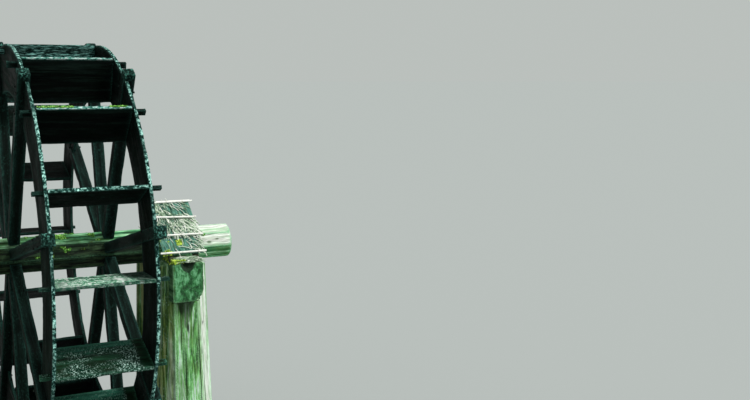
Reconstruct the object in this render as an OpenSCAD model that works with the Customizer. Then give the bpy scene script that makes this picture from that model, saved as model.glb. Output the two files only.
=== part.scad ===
// Timber water wheel between two bearing supports, each under its own small bark roof.
// The axle runs along X, the wheel turns about it, and the posts stand on z = 0.
// Wheel angles are counted from the front (-Y) upwards.

/* [Wheel] */
// Radius to the outer edge of the rims
wheel_r = 2000; // [1600:50:2400]
// Clear width between the two rims
rim_gap = 800; // [600:10:1000]
// Radial depth of a rim board
rim_depth = 450; // [440:5:520]
// Thickness of a rim board
rim_t = 32; // [26:1:44]
// Angle of the first float above the level
float_turn = 1.1; // [0:0.1:11]

/* [Floats] */
// Number of floats, two between each pair of arms
float_count = 16; // [16]
// Radial depth of a float board
float_depth = 434; // [380:2:436]
// Thickness of a float board
float_t = 35; // [25:1:45]
// Width of the tenon that passes through the rim
tenon_w = 60; // [45:5:120]
// Distance from the float's outer edge to its tenon
tenon_inset = 40; // [30:5:90]
// Length of the tenon that stands out of the rim
tenon_out = 88; // [60:2:100]

/* [Arms] */
// Number of arms on each side
arm_count = 8; // [8]
// Side of the square arm
arm_w = 108; // [100:1:120]
// Height of the arm's end above the rim
arm_proud = 70; // [40:5:100]
// Depth of the groove that holds a rim board's end
arm_lap = 32; // [20:1:36]
// Wood left between that groove and the arm's inner face
arm_lip = 14; // [8:1:20]
// Side of the arm's root tenon
root_w = 75; // [50:5:90]
// Depth of the root tenon in the axle
root_depth = 75; // [40:5:80]

/* [Axle] */
// Distance across the flats of the eight-sided axle
axle_flats = 340; // [320:5:360]
// Length of the axle
axle_len = 3400; // [3200:10:4000]
// Height of the axle's centre above the ground
axle_z = 2200; // [2150:10:2600]
// Radius of the round neck in each bearing
neck_r = 160; // [140:1:162]

/* [Bearing supports] */
// Distance from the wheel's middle to the middle of a support
support_x = 1085; // [1000:5:1200]
// Width of the bearing beam
beam_w = 310; // [280:5:330]
// Height of the bearing beam
beam_h = 390; // [340:5:430]
// Width of the rounded lower edge of the beam, where the log falls short of square
wane_w = 85; // [20:5:110]
// Height of that edge
wane_h = 120; // [20:5:160]
// Length of the bearing beam
beam_len = 1240; // [1160:10:1400]
// Depth of the axle's neck below the top of the beam
saddle_drop = 64; // [40:2:80]
// Width of a post at its top
post_w = 500; // [460:5:540]
// Depth of a post at its top
post_d = 320; // [280:5:330]
// Distance from the axle's line to the middle of a post
post_y = 360; // [350:5:400]
// Widening of each side of a post towards its foot
post_flare = 55; // [0:1:60]
// Width of the hewn corner faces of a post
post_corner = 135; // [40:5:150]

/* [Bearing roofs] */
// Height of the roof's ridge above the axle
ridge_rise = 440; // [420:5:480]
// Slope of the roof
roof_slope = 43; // [40:1:46]
// Distance from the ridge to the eaves, measured level
roof_reach = 500; // [480:5:530]
// Width of the bark along the axle
bark_w = 410; // [340:10:430]
// Thickness of the bark
bark_t = 14; // [10:1:18]
// Rise of each course of bark over the one below it
bark_lap = 13; // [8:1:18]
// Side of the square rafters
rafter_w = 54; // [40:2:60]
// Length of a batten
batten_len = 480; // [440:10:520]
// Radius of a batten
batten_r = 11; // [8:1:14]

/* [Hidden] */
$fn = 96;
arm_step = 360 / arm_count;
float_step = 360 / float_count;
arm_turn = float_turn + float_step / 2;
rim_in_r = wheel_r - rim_depth;
rim_in_x = rim_gap / 2;
rim_out_x = rim_in_x + rim_t;
arm_in_x = rim_in_x - arm_lip;
arm_end_r = wheel_r + arm_proud;
axle_flat_r = axle_flats / 2;
tenon_end_x = rim_out_x + tenon_out;
tenon_in_r = wheel_r - tenon_inset - tenon_w;
// Play round a tenon, past a rim board's outer edge in its groove, and of the neck in its saddle
joint_play = 0.5;
edge_play = 2;
neck_play = 1;
// Play between the axle's shoulders and the side of the beam
shoulder_play = 15;
beam_top = axle_z - neck_r + saddle_drop;
beam_base = beam_top - beam_h;
beam_corner = 16;
arm_tip_bevel = 14;
axle_end_bevel = 26;
// A knot that has rotted out of the beam's front end
knot_r = 62;
knot_depth = 44;
cheek_top = beam_top - 14;
cheek_fall = 40;
roof_tan = tan(roof_slope);
roof_cos = cos(roof_slope);
rafter_offset = 125;
course_count = 3;
course_len = roof_reach / cos(roof_slope) / course_count;
course_tilt = atan(bark_lap / course_len);
batten_inset = 20;
SIDES = ["left", "right"];

// Everything is drawn for the right side, and the left is its mirror image
module on_side(side) {
    if (side == "left") mirror([1, 0, 0]) children();
    else children();
}

// Turns what points to the front (-Y) to a wheel angle about the axle
module at_angle(angle) {
    translate([0, 0, axle_z]) rotate([-angle, 0, 0]) children();
}

// Extrudes a profile drawn in Y and Z along X
module along_x(from, length) {
    translate([from, 0, 0]) rotate([90, 0, 90]) linear_extrude(length) children();
}

// Extrudes a profile drawn in X and Z along Y
module along_y(from, length) {
    translate([0, from + length, 0]) rotate([90, 0, 0]) linear_extrude(length) children();
}

// The eight-sided axle: bevelled ends, a round neck in each bearing, a mortise for every arm
module axle() {
    corner_r = axle_flat_r / cos(180 / arm_count);
    neck_len = beam_w + 2 * shoulder_play;
    color("darkolivegreen")
    at_angle(arm_turn + arm_step / 2)
    difference() {
        intersection() {
            rotate([0, 90, 0])
                cylinder(h = axle_len, r = corner_r, center = true, $fn = arm_count);
            rotate([0, 90, 0]) rotate_extrude() polygon([
                [0, -axle_len / 2],
                [corner_r - axle_end_bevel, -axle_len / 2],
                [corner_r + 1, -axle_len / 2 + axle_end_bevel],
                [corner_r + 1, axle_len / 2 - axle_end_bevel],
                [corner_r - axle_end_bevel, axle_len / 2],
                [0, axle_len / 2]
            ]);
        }
        for (s = [-1, 1]) translate([s * support_x, 0, 0]) rotate([0, 90, 0]) difference() {
            cylinder(h = neck_len, r = 2 * axle_flat_r, center = true);
            cylinder(h = neck_len + 2, r = neck_r, center = true);
        }
        for (s = [-1, 1], k = [0 : arm_count - 1])
            rotate([(k + 0.5) * arm_step, 0, 0])
                translate([s * (arm_in_x + arm_w / 2), -axle_flat_r, 0])
                    cube([root_w + 2 * joint_play, 2 * (root_depth + joint_play),
                          root_w + 2 * joint_play], center = true);
    }
}

// One arm: a root tenon in the axle, a groove in each flank that takes the rim boards' ends and
// stops short of the tip, and a bevelled tip
module arm() {
    bar_len = arm_end_r - axle_flat_r;
    groove_len = rim_depth + 2 * edge_play;
    difference() {
        translate([arm_in_x, -arm_end_r, -arm_w / 2]) cube([arm_w, bar_len, arm_w]);
        for (s = [-1, 1])
            translate([rim_in_x + rim_t / 2, -rim_in_r - rim_depth / 2, s * arm_w / 2])
                cube([rim_t, groove_len, 2 * arm_lap], center = true);
        for (s = [-1, 1]) {
            translate([arm_in_x + arm_w / 2, -arm_end_r, s * arm_w / 2]) rotate([45, 0, 0])
                cube([2 * arm_w, arm_tip_bevel * sqrt(2), arm_tip_bevel * sqrt(2)], center = true);
            translate([arm_in_x + arm_w / 2 + s * arm_w / 2, -arm_end_r, 0]) rotate([0, 0, 45])
                cube([arm_tip_bevel * sqrt(2), arm_tip_bevel * sqrt(2), 2 * arm_w], center = true);
        }
    }
    translate([arm_in_x + (arm_w - root_w) / 2, -axle_flat_r, -root_w / 2])
        cube([root_w, root_depth, root_w]);
}

// Two arms that stand opposite each other
module arm_pair(side, k) {
    color("dimgray") on_side(side)
        for (half = [0, arm_count / 2])
            at_angle(arm_turn + (k - 1 + half) * arm_step) arm();
}

// Outline of one rim board between two arms, drawn round the front direction
module felloe_outline() {
    tip = (arm_w / 2 - arm_lap) / sin(arm_step / 2);
    reach = 1.2 * wheel_r;
    intersection() {
        difference() {
            circle(wheel_r);
            circle(rim_in_r);
        }
        polygon([
            [-tip, 0],
            [-tip - reach * cos(arm_step / 2), reach * sin(arm_step / 2)],
            [-tip - reach * cos(arm_step / 2), -reach * sin(arm_step / 2)]
        ]);
    }
}

// A rim of boards whose ends lie in the arms' grooves, cut through for the float tenons
module rim(side) {
    color("darkslategray") on_side(side)
        for (k = [0 : arm_count - 1]) at_angle(arm_turn + (k + 0.5) * arm_step)
            along_x(rim_in_x, rim_t) difference() {
                felloe_outline();
                for (s = [-1, 1]) rotate(s * float_step / 2)
                    translate([-tenon_in_r - tenon_w - joint_play, -float_t / 2 - joint_play])
                        square([tenon_w + 2 * joint_play, float_t + 2 * joint_play]);
            }
}

// One float board with a tenon at each end that passes through the rim
module float_board(i) {
    color("darkslategray") at_angle(float_turn + (i - 1) * float_step) {
        translate([-rim_in_x, -wheel_r, -float_t / 2]) cube([rim_gap, float_depth, float_t]);
        translate([-tenon_end_x, -tenon_in_r - tenon_w, -float_t / 2])
            cube([2 * tenon_end_x, tenon_w, float_t]);
    }
}

// Outline of a squared log, centred in width and standing on 0, with its lower outer edge left round
module hewn_outline(width, height, corner) {
    polygon([
        [-width / 2 + corner, 0],
        [width / 2 - wane_w, 0],
        [width / 2 - wane_w / 4, wane_h / 2],
        [width / 2, wane_h],
        [width / 2, height - corner],
        [width / 2 - corner, height],
        [-width / 2 + corner, height],
        [-width / 2, height - corner],
        [-width / 2, corner]
    ]);
}

// The beam that carries one end of the axle in a half-round saddle
module bearing_beam(side) {
    color("cadetblue") on_side(side) difference() {
        translate([support_x, 0, beam_base]) along_y(-beam_len / 2, beam_len)
            hewn_outline(beam_w, beam_h, beam_corner);
        translate([support_x, 0, axle_z]) rotate([0, 90, 0])
            cylinder(h = 2 * beam_w, r = neck_r + neck_play, center = true);
        translate([support_x, -beam_len / 2 - knot_r + knot_depth, beam_top - 4]) sphere(knot_r);
    }
}

// Outline of a post's face, wider at the foot
module flared_outline(top_half, foot_half) {
    polygon([[-foot_half, 0], [foot_half, 0], [top_half, cheek_top], [-top_half, cheek_top]]);
}

// Front outline of a post: two cheeks stand up on either side of the beam
module forked_outline() {
    slot = beam_w / 2 + joint_play;
    top = post_w / 2;
    foot = top + post_flare;
    polygon([
        [-foot, 0],
        [foot, 0],
        [top, cheek_top - cheek_fall],
        [slot, cheek_top],
        [slot, beam_base],
        [-slot, beam_base],
        [-slot, cheek_top],
        [-top, cheek_top - cheek_fall]
    ]);
}

// A forked post, hewn to eight faces, at one end of the beam
module post(side, y) {
    diagonal = (post_w / 2 + post_d / 2 - post_corner) / sqrt(2);
    span = 2 * post_w;
    color("darkseagreen") on_side(side) translate([support_x, y, 0]) intersection() {
        along_y(-span, 2 * span) forked_outline();
        along_x(-span, 2 * span) flared_outline(post_d / 2, post_d / 2 + post_flare);
        for_diagonals(span) flared_outline(diagonal, diagonal + post_flare);
    }
}

// The space shared by a profile extruded along both diagonals
module for_diagonals(span) {
    intersection() {
        rotate(45) along_x(-span, 2 * span) children();
        rotate(-45) along_x(-span, 2 * span) children();
    }
}

// Height of the roof's upper face at a distance from the ridge, less a drop
function roof_z(y, drop) = axle_z + ridge_rise - y * roof_tan - drop / roof_cos;

// Two pairs of rafters that stand on the beam and meet under the ridge
module roof_rafters(side) {
    foot_out = (roof_z(0, bark_t) - beam_top) / roof_tan;
    foot_in = (roof_z(0, bark_t + rafter_w) - beam_top) / roof_tan;
    color("rosybrown") on_side(side) for (s = [-1, 1])
        along_x(support_x + s * rafter_offset - rafter_w / 2, rafter_w)
            polygon([
                [-foot_out, beam_top],
                [0, roof_z(0, bark_t)],
                [foot_out, beam_top],
                [foot_in, beam_top],
                [0, roof_z(0, bark_t + rafter_w)],
                [-foot_in, beam_top]
            ]);
}

// A point of the front slope: down the slope from the ridge, and out from the rafters' upper face
function slope_point(down, out) = [
    -down * cos(roof_slope) - out * sin(roof_slope),
    roof_z(0, bark_t) - down * sin(roof_slope) + out * cos(roof_slope)
];

// Height of the bark's upper face over the rafters near the foot of a course
function course_top(inset) = bark_t + bark_lap * (1 - inset / course_len);

// The bark on one slope, front or back: each course laps over the head of the one below it
module roof_bark(side, back) {
    color("slategray") on_side(side) mirror([0, back ? 1 : 0, 0])
        along_x(support_x - bark_w / 2, bark_w)
            polygon(concat(
                [slope_point(0, 0), [0, roof_z(0, 0)], slope_point(0, bark_t)],
                [for (k = [1 : course_count], step = [1, 0])
                    slope_point(k * course_len, bark_t * (k < course_count ? 1 : step) + bark_lap * step)]
            ));
}

// Four battens on each slope hold the bark down, one at the ridge and one at the foot of each course
module roof_battens(side) {
    rest = batten_r / cos(course_tilt);
    color("wheat") on_side(side) for (s = [-1, 1], k = [0 : course_count]) {
        at = k == 0
            ? slope_point(6, course_top(course_len - 6) + rest)
            : slope_point(k * course_len - batten_inset, course_top(batten_inset) + rest);
        translate([support_x - batten_len / 2, -s * at[0], at[1]]) rotate([0, 90, 0])
            cylinder(h = batten_len, r = batten_r, $fn = 24);
    }
}

axle();
for (s = SIDES) {
    rim(s);
    for (k = [1 : arm_count / 2])
        arm_pair(s, k);
    post(s, -post_y);
    post(s, post_y);
    bearing_beam(s);
    roof_rafters(s);
    roof_bark(s, false);
    roof_bark(s, true);
    roof_battens(s);
}
for (i = [1 : float_count])
    float_board(i);
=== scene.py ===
"""Weathered shapes and finishes of the timber water wheel, in metres, in the frame of its solids.

The axle lies along X at axle height and the posts stand on z = 0. Wheel angles are counted from
the front (-Y) upwards, so a point at angle a and radius r is at y = -r cos a, z = axle height + r sin a.
"""
import math

import bmesh
import bpy
import numpy as np
from mathutils import Matrix, Vector
from mathutils.kdtree import KDTree


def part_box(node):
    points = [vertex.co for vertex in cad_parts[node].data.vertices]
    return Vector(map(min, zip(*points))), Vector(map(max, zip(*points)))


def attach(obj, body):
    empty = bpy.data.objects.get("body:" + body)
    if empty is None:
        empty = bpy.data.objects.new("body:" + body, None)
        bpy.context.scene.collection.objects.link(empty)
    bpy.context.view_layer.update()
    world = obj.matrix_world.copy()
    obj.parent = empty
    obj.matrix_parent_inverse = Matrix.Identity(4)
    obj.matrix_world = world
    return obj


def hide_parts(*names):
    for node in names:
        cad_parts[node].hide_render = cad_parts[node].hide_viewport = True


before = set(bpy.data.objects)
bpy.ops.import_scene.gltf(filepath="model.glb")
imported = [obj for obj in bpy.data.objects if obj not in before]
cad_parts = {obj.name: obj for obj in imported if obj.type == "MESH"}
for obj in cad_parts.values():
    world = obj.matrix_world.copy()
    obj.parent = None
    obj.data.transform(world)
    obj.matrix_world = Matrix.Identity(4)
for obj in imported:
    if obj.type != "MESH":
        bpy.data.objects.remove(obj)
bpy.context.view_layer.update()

SIDES = (("left", -1), ("right", 1))
AXLE_Z, AXLE_FLAT, AXLE_HALF = 2.2, 0.17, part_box("axle")[1].x
AXLE_BEVEL, AXLE_TIP_RING = 0.026, 0.012
NECK_R, NECK_PLAY = 0.16, 0.015
WHEEL_R, RIM_INNER_R = 2.0, 1.55
RIM_IN, RIM_OUT = (corner.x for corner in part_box("right_rim"))
# Radii of the outer edge that carries the painted highlight of the rims and floats.
OUTER_EDGE_R = (1.982, 1.994)
FLOAT_TURN, FLOAT_STEP = 1.1, 22.5
FLOAT_DEPTH, FLOAT_THICK, FLOAT_R = 0.434, 0.035, 1.783
TENON_W, TENON_INSET, TENON_END = 0.060, 0.040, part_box("float_1")[1].x
ARM_TURN, ARM_STEP, ARM_TIP_R = 12.35, 45, 2.07
ARM_IN, ARM_OUT = (corner.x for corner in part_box("right_arm_pair_1"))
PEG_R, PEG_LENGTH = 0.0115, ARM_OUT - ARM_IN + 0.018
SUPPORT_X, POST_Y = 1.085, 0.36
POST_W, POST_D, POST_FLARE, POST_CORNER = 0.500, 0.320, 0.055, 0.135
POST_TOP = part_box("right_front_post")[1].z
FORK_PLAY = 0.0005
BEAM_LO, BEAM_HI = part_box("right_bearing_beam")
BEAM_CORNER, WANE_W, WANE_H = 0.016, 0.085, 0.120
KNOT_R, KNOT_DEEP = 0.062, 0.044
RIDGE_Z, SLOPE = AXLE_Z + 0.44, math.radians(43)
RAFTER, RAFTER_X = 0.054, 0.125
COURSES = 3
COURSE_LEN = 0.5 / math.cos(SLOPE) / COURSES
BARK_T, BARK_LAP, BARK_TUCK, STRIP_GAP = 0.014, 0.013, 0.028, 0.0012
BARK_LO, BARK_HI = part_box("right_roof_front_bark")
TUFT_X, TUFT_Z = 1.07, 2.28
CANE_R, CANE_RISE = 0.0108, 0.020


# Noise and small sums on rows of points

def grain_noise(p, seed=0):
    """Smooth noise from -1 to 1 at each row of p."""
    cell = np.floor(p).astype(np.int64)
    t = p - cell
    t = t * t * (3 - 2 * t)
    total = np.zeros(len(p))
    for corner in np.ndindex(2, 2, 2):
        h = (cell + corner) * (73856093, 19349663, 83492791)
        h = h[:, 0] ^ h[:, 1] ^ h[:, 2] ^ (seed * 265443576 + 97)
        h = (h ^ (h >> 15)) * 2246822519
        h = (h ^ (h >> 13)) * 3266489917
        value = ((h >> 7) & 0xFFFF) / 32767.5 - 1
        share = np.where(corner, t, 1 - t)
        total += value * (share[:, 0] * share[:, 1]) * share[:, 2]
    return total


def rough_noise(p, seed=0):
    """Three sizes of smooth noise laid over each other."""
    return sum(grain_noise(p * 2**layer, seed + 17 * layer) / 2**layer for layer in range(3))


def ease(x, low, high):
    """0 below low, 1 above high, smooth between."""
    t = np.clip((x - low) / (high - low), 0, 1)
    return t * t * (3 - 2 * t)


def patches(co, scale, seed, low, high):
    """Soft patches from 0 to 1. The scale is one number, or one for each axis."""
    return ease(rough_noise(co * scale, seed), low, high)


def hump(x, middle, width):
    """1 in the middle, falling off smoothly to both sides."""
    return np.exp(-(((x - middle) / width) ** 2))


def stops_along(start, end, step):
    parts = max(1, round(abs(end - start) / step))
    return [start + (end - start) * i / parts for i in range(parts + 1)]


def wheel_place(angle):
    """Turns what is built at the front of the wheel to a wheel angle."""
    return Matrix.Translation((0, 0, AXLE_Z)) @ Matrix.Rotation(math.radians(-angle), 4, "X")


def from_axle(co):
    return np.hypot(co[:, 1], co[:, 2] - AXLE_Z)


def outer_edge_patches(co, seed, low=OUTER_EDGE_R[0], high=OUTER_EDGE_R[1]):
    """Patches along the outer edge of the rims and floats. The tone rules lay a painted highlight of the wet
    edge on them, and on most floats moss grows on them.
    """
    return ease(from_axle(co), low, high) * (0.35 + 0.65 * patches(co, 9, seed, -0.7, 0.3))


# Shells

def plank_loop(width, thick, step, ease_by=0.003):
    """Points round a sawn section with eased arrises, as (across, through) rows."""
    corners = []
    for sx, sy in ((-1, -1), (1, -1), (1, 1), (-1, 1)):
        middle = np.array((sx * (width / 2 - ease_by), sy * (thick / 2 - ease_by)))
        turns = ((0, sy), (sx, 0)) if sx * sy < 0 else ((sx, 0), (0, sy))
        corners.append([middle + np.array(turn) * ease_by for turn in turns])
    points = []
    for k in range(4):
        a, b = corners[k][1], corners[(k + 1) % 4][0]
        parts = max(1, round(math.hypot(*(b - a)) / step))
        points += [corners[k][0]] + [a + (b - a) * i / parts for i in range(parts)]
    return np.array(points)


def skin(rows, rings=(0, 0)):
    """Closes a row of loops into one shell, with rings of points on the end grain.
    Returns its points, its faces and the number of points in a loop."""
    def shrink(loop, count):
        middle = loop.mean(0)
        return [middle + (loop - middle) * (1 - (k + 1) / (count + 0.6)) for k in range(count)]

    rows = [np.asarray(r, float) for r in rows]
    rows = shrink(rows[0], rings[0])[::-1] + rows + shrink(rows[-1], rings[1])
    m, n = len(rows), len(rows[0])
    points = np.vstack(rows + [rows[0].mean(0)[None], rows[-1].mean(0)[None]])
    r, c = np.mgrid[0 : m - 1, 0:n]
    a, b = r * n + c, r * n + (c + 1) % n
    faces = np.stack([a, b, b + n, a + n], -1).reshape(-1, 4).tolist()
    j = np.arange(n)
    k = (j + 1) % n
    faces += np.stack([np.full(n, m * n), k, j], -1).tolist()
    faces += np.stack([np.full(n, m * n + 1), (m - 1) * n + j, (m - 1) * n + k], -1).tolist()
    return points, faces, n


def room_inside(points, faces):
    """Six times the volume of a shell: negative if its faces point inwards."""
    corners = np.array([f[:3] for f in faces] + [[f[0], f[2], f[3]] for f in faces if len(f) == 4])
    a, b, c = (points[corners[:, k]] for k in range(3))
    return float((a * np.cross(b, c)).sum())


class Timber:
    """The shells of one piece, with each point's place in its own log or board and how dark it is painted
    there: 1 in a crack or a rotted hollow, where the dark is painted shade, and 0.5 on its lips. The same
    value also holds painted shadow, rot and stains."""

    def __init__(self):
        self.points, self.faces, self.wood, self.gap, self.count = [], [], [], [], 0

    def add(self, points, faces, wood, place=None, mirror=False, gap=None):
        points = np.array(points, float)
        self.gap.append(np.zeros(len(points)) if gap is None else gap)
        if place is not None:
            m = np.array(place)
            points = points @ m[:3, :3].T + m[:3, 3]
        if mirror:
            points[:, 0] *= -1
        turned = -1 if room_inside(points, faces) < 0 else 1
        self.points.append(points)
        self.wood.append(np.asarray(wood, float))
        self.faces += [[i + self.count for i in f[::turned]] for f in faces]
        self.count += len(points)


def placed(name, data):
    """A new object in the scene."""
    obj = bpy.data.objects.new(name, data)
    bpy.context.scene.collection.objects.link(obj)
    return obj


def settled(obj):
    """The mesh of an object with its modifier worked in."""
    bpy.context.view_layer.update()
    return bpy.data.meshes.new_from_object(obj.evaluated_get(bpy.context.evaluated_depsgraph_get()))


def read(items, what, width=1, kind=float):
    """One property of all items of a mesh."""
    values = np.empty(len(items) * width, kind)
    items.foreach_get(what, values)
    return values.reshape(-1, width) if width > 1 else values


def spots(mesh, what="co"):
    """The points of a mesh, or their normals, as an (n, 3) array."""
    return read(mesh.vertices, what, 3)


def note(mesh, name, values):
    """Stores a value for each point under a name that the finishes read."""
    values = np.asarray(values, np.float32)
    kind, key = ("FLOAT_VECTOR", "vector") if values.ndim == 2 else ("FLOAT", "value")
    mesh.attributes.new(name, kind, "POINT").data.foreach_set(key, values.ravel())


def arris_distance(mesh):
    """Each point's distance along the surface to the nearest sharp edge."""
    a, b = read(mesh.edges, "vertices", 2, np.int32).T
    corners = read(mesh.polygons, "loop_total", 1, np.int32)
    total = np.zeros((len(a), 3))
    np.add.at(total, read(mesh.loops, "edge_index", 1, np.int32),
              np.repeat(read(mesh.polygons, "normal", 3), corners, axis=0))
    sharp = (total**2).sum(1) / 2 - 1 < math.cos(math.radians(32))
    co = spots(mesh)
    length = np.linalg.norm(co[a] - co[b], axis=1)
    away = np.full(len(co), 9.0)
    away[a[sharp]] = away[b[sharp]] = 0
    for _ in range(5):
        np.minimum.at(away, a, away[b] + length)
        np.minimum.at(away, b, away[a] + length)
    return away


def mossy_part(mesh):
    """The faces of a mesh on which moss is thick, as (points, faces, moss at each point)."""
    moss = read(mesh.attributes["moss"].data, "value", 1, np.float32)
    kept = [tuple(f.vertices) for f in mesh.polygons if moss[list(f.vertices)].mean() > 0.42]
    used = np.unique([k for f in kept for k in f]).astype(int)
    place = np.zeros(len(moss), int)
    place[used] = np.arange(len(used))
    return spots(mesh)[used], [[int(place[k]) for k in f] for f in kept], moss[used]


def finished(obj, finish, body, nodes=()):
    """Gives a piece its finish, its body and the solids that it stands for."""
    obj.data.materials.clear()
    obj.data.materials.append(finish)
    if nodes:
        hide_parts(*nodes)
    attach(obj, body)
    return obj


def cut_away(mesh, lo, hi):
    """Cuts a square slot out of a mesh and returns the new mesh."""
    block = bpy.data.meshes.new("slot")
    bm = bmesh.new()
    bmesh.ops.create_cube(bm, size=1)
    for v in bm.verts:
        v.co = [lo[k] if v.co[k] < 0 else hi[k] for k in range(3)]
    bm.to_mesh(block)
    bm.free()
    cutter, whole = placed("slot", block), placed("whole", mesh)
    cut = whole.modifiers.new("fork", "BOOLEAN")
    cut.operation, cut.solver, cut.object = "DIFFERENCE", "EXACT", cutter
    made = settled(whole)
    bpy.data.objects.remove(cutter)
    bpy.data.objects.remove(whole)
    return made


def carried(before, values, now):
    """Values of the points before a cut, for the points after it."""
    tree = KDTree(len(before))
    for k, point in enumerate(before):
        tree.insert(point, k)
    tree.balance()
    found = [tree.find(point) for point in now]
    return np.array([values[k] if away < 0.001 else 0.0 for _, k, away in found])


MOSS_BEDS = {"wheel": [], "supports": []}


def worn_piece(name, timber, finish, body, nodes, relief, arris, fibre=(1.5, 16, 16),
               moss=None, tone_and_shading=None, sun=None, fork=None, seed=0):
    """Builds a piece and wears it: relief along the grain on its faces, chips along its arrises.
    Wear only takes wood away, so the piece stays within its solid."""
    mesh = bpy.data.meshes.new(name)
    mesh.from_pydata(np.vstack(timber.points).tolist(), [], timber.faces)
    wood, gap = np.vstack(timber.wood), np.concatenate(timber.gap)
    if fork:
        lo, hi, wood_at = fork
        before = spots(mesh)
        mesh = cut_away(mesh, lo, hi)
        mesh.name = name
        wood = wood_at(spots(mesh))
        gap = carried(before, gap, spots(mesh))
    co, normal = spots(mesh), spots(mesh, "normal")
    worn = np.exp(-arris_distance(mesh) / 0.012) * (1 - np.clip(2 * gap, 0, 1))
    ridges = rough_noise(wood * fibre, seed)
    chips = patches(wood, (7, 9, 9), seed + 5, -0.1, 1.0)
    depth = relief * np.clip(0.5 + 0.5 * ridges, 0, 1) + arris * worn * (0.25 + 0.75 * chips)
    mesh.vertices.foreach_set("co", (co - normal * depth[:, None]).ravel())
    mesh.update()
    normal = spots(mesh, "normal")
    for key, values in (("wood", wood), ("wear", worn), ("gap", gap)):
        note(mesh, key, values)
    # Besides moss, these rules lay painted highlights, painted shade and painted sunlight, along with real
    # tone and bleaching.
    for key, rule in (("moss", moss), ("tone_and_shading", tone_and_shading), ("sun", sun)):
        note(mesh, key, rule(co, normal, worn) if rule else np.zeros(len(co)))
    if moss:
        MOSS_BEDS[body].append(mossy_part(mesh))
    mesh.polygons.foreach_set("use_smooth", np.ones(len(mesh.polygons), bool))
    mesh.set_sharp_from_angle(angle=math.radians(38))
    return finished(placed(name, mesh), finish, body, nodes)


# Trees of nodes. The newest tree is the one at work.

TREES = []


class Wire:
    """A node's output, with which sums are written as with numbers."""

    def __init__(self, socket):
        self.socket = socket

    def __add__(self, other):
        return calc("ADD", self, other)

    def __sub__(self, other):
        return calc("SUBTRACT", self, other)

    def __rsub__(self, other):
        return calc("SUBTRACT", other, self)

    def __mul__(self, other):
        return calc("MULTIPLY", self, other)

    def __truediv__(self, other):
        return calc("DIVIDE", self, other)


def plug(node, values):
    """Sets inputs of a node, to plain values or to wires."""
    for key, value in values.items():
        if isinstance(value, Wire):
            TREES[-1].links.new(value.socket, node.inputs[key])
        else:
            node.inputs[key].default_value = value


def add_node(kind, values=None, out=0, **settings):
    """Adds a node. Returns one of its outputs, or all of them by name where out is None."""
    node = TREES[-1].nodes.new(kind)
    for key, value in settings.items():
        setattr(node, key, value)
    plug(node, values or {})
    if out is None:
        return {socket.name: Wire(socket) for socket in node.outputs}
    return Wire(node.outputs[out])


def calc(operation, a, b=0.0):
    return add_node("ShaderNodeMath", {0: a, 1: b, 2: 0.0}, operation=operation)


def vector_calc(operation, a, b=None, out=0):
    """A sum with vectors. For SCALE, b is a number."""
    values = {0: a} if b is None else {0: a, "Scale" if operation == "SCALE" else 1: b}
    return add_node("ShaderNodeVectorMath", values, out, operation=operation)


def rise(value, low, high, to_low=0.0, to_high=1.0):
    """Turns low..high of a value into to_low..to_high, smoothly."""
    return add_node("ShaderNodeMapRange", {"Value": value, "From Min": low, "From Max": high,
                                           "To Min": to_low, "To Max": to_high},
                    interpolation_type="SMOOTHSTEP")


def attribute(name, part="Fac"):
    return add_node("ShaderNodeAttribute", None, part, attribute_name=name)


def speckle(where, grain, detail=4, rough=0.6, shift=(0, 0, 0), out=0):
    """Noise, as fine on each axis as the grain says."""
    where = add_node("ShaderNodeMapping", {"Vector": where, "Scale": grain, "Location": shift})
    return add_node("ShaderNodeTexNoise", {"Vector": where, "Scale": 1, "Detail": detail,
                                           "Roughness": rough}, out)


def tint(share, below, above, blend="MIX"):
    """Lays one colour over another."""
    below, above = (c if isinstance(c, Wire) else (*c, 1) for c in (below, above))
    return add_node("ShaderNodeMix", {0: share, 6: below, 7: above}, 2, data_type="RGBA",
                    blend_type=blend, clamp_result=False)


def shades(value, places, colours):
    """A run of colours along a value."""
    node = add_node("ShaderNodeValToRGB", {0: value}).socket.node
    ramp = node.color_ramp
    while len(ramp.elements) < len(colours):
        ramp.elements.new(0.5)
    for element, place, colour in zip(ramp.elements, places, colours):
        element.position, element.color = place, (*colour, 1)
    return Wire(node.outputs[0])


def bump(height, strength, distance):
    return add_node("ShaderNodeBump", {"Height": height, "Strength": strength, "Distance": distance})


def empty_finish(name):
    material = bpy.data.materials.new(name)
    material.use_nodes = True
    TREES.append(material.node_tree)
    return material, material.node_tree.nodes["Principled BSDF"]


# Finishes of the larger timbers

MOSS_GREENS = ((0.010, 0.030, 0.006), (0.075, 0.15, 0.022), (0.26, 0.38, 0.06))
RING = 0.0065


def round_knots(wood, knots):
    """Bends the grain round knots and returns it with the share of each point that is knot.
    A knot is (place along, place across, half length, half width)."""
    along, across, deep = add_node("ShaderNodeSeparateXYZ", {0: wood}, None).values()
    pushed, heart = across, None
    for at, side, half_long, half_wide in knots:
        dx = (along - at) / half_long
        dy = (across - side) / half_wide
        near = calc("POWER", 2.718, (dx * dx + dy * dy) * -1.0)
        pushed = pushed + (across - side) * (near * -0.85)
        heart = near if heart is None else calc("MAXIMUM", heart, near)
    return add_node("ShaderNodeCombineXYZ", {0: along, 1: pushed, 2: deep}), heart


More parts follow.
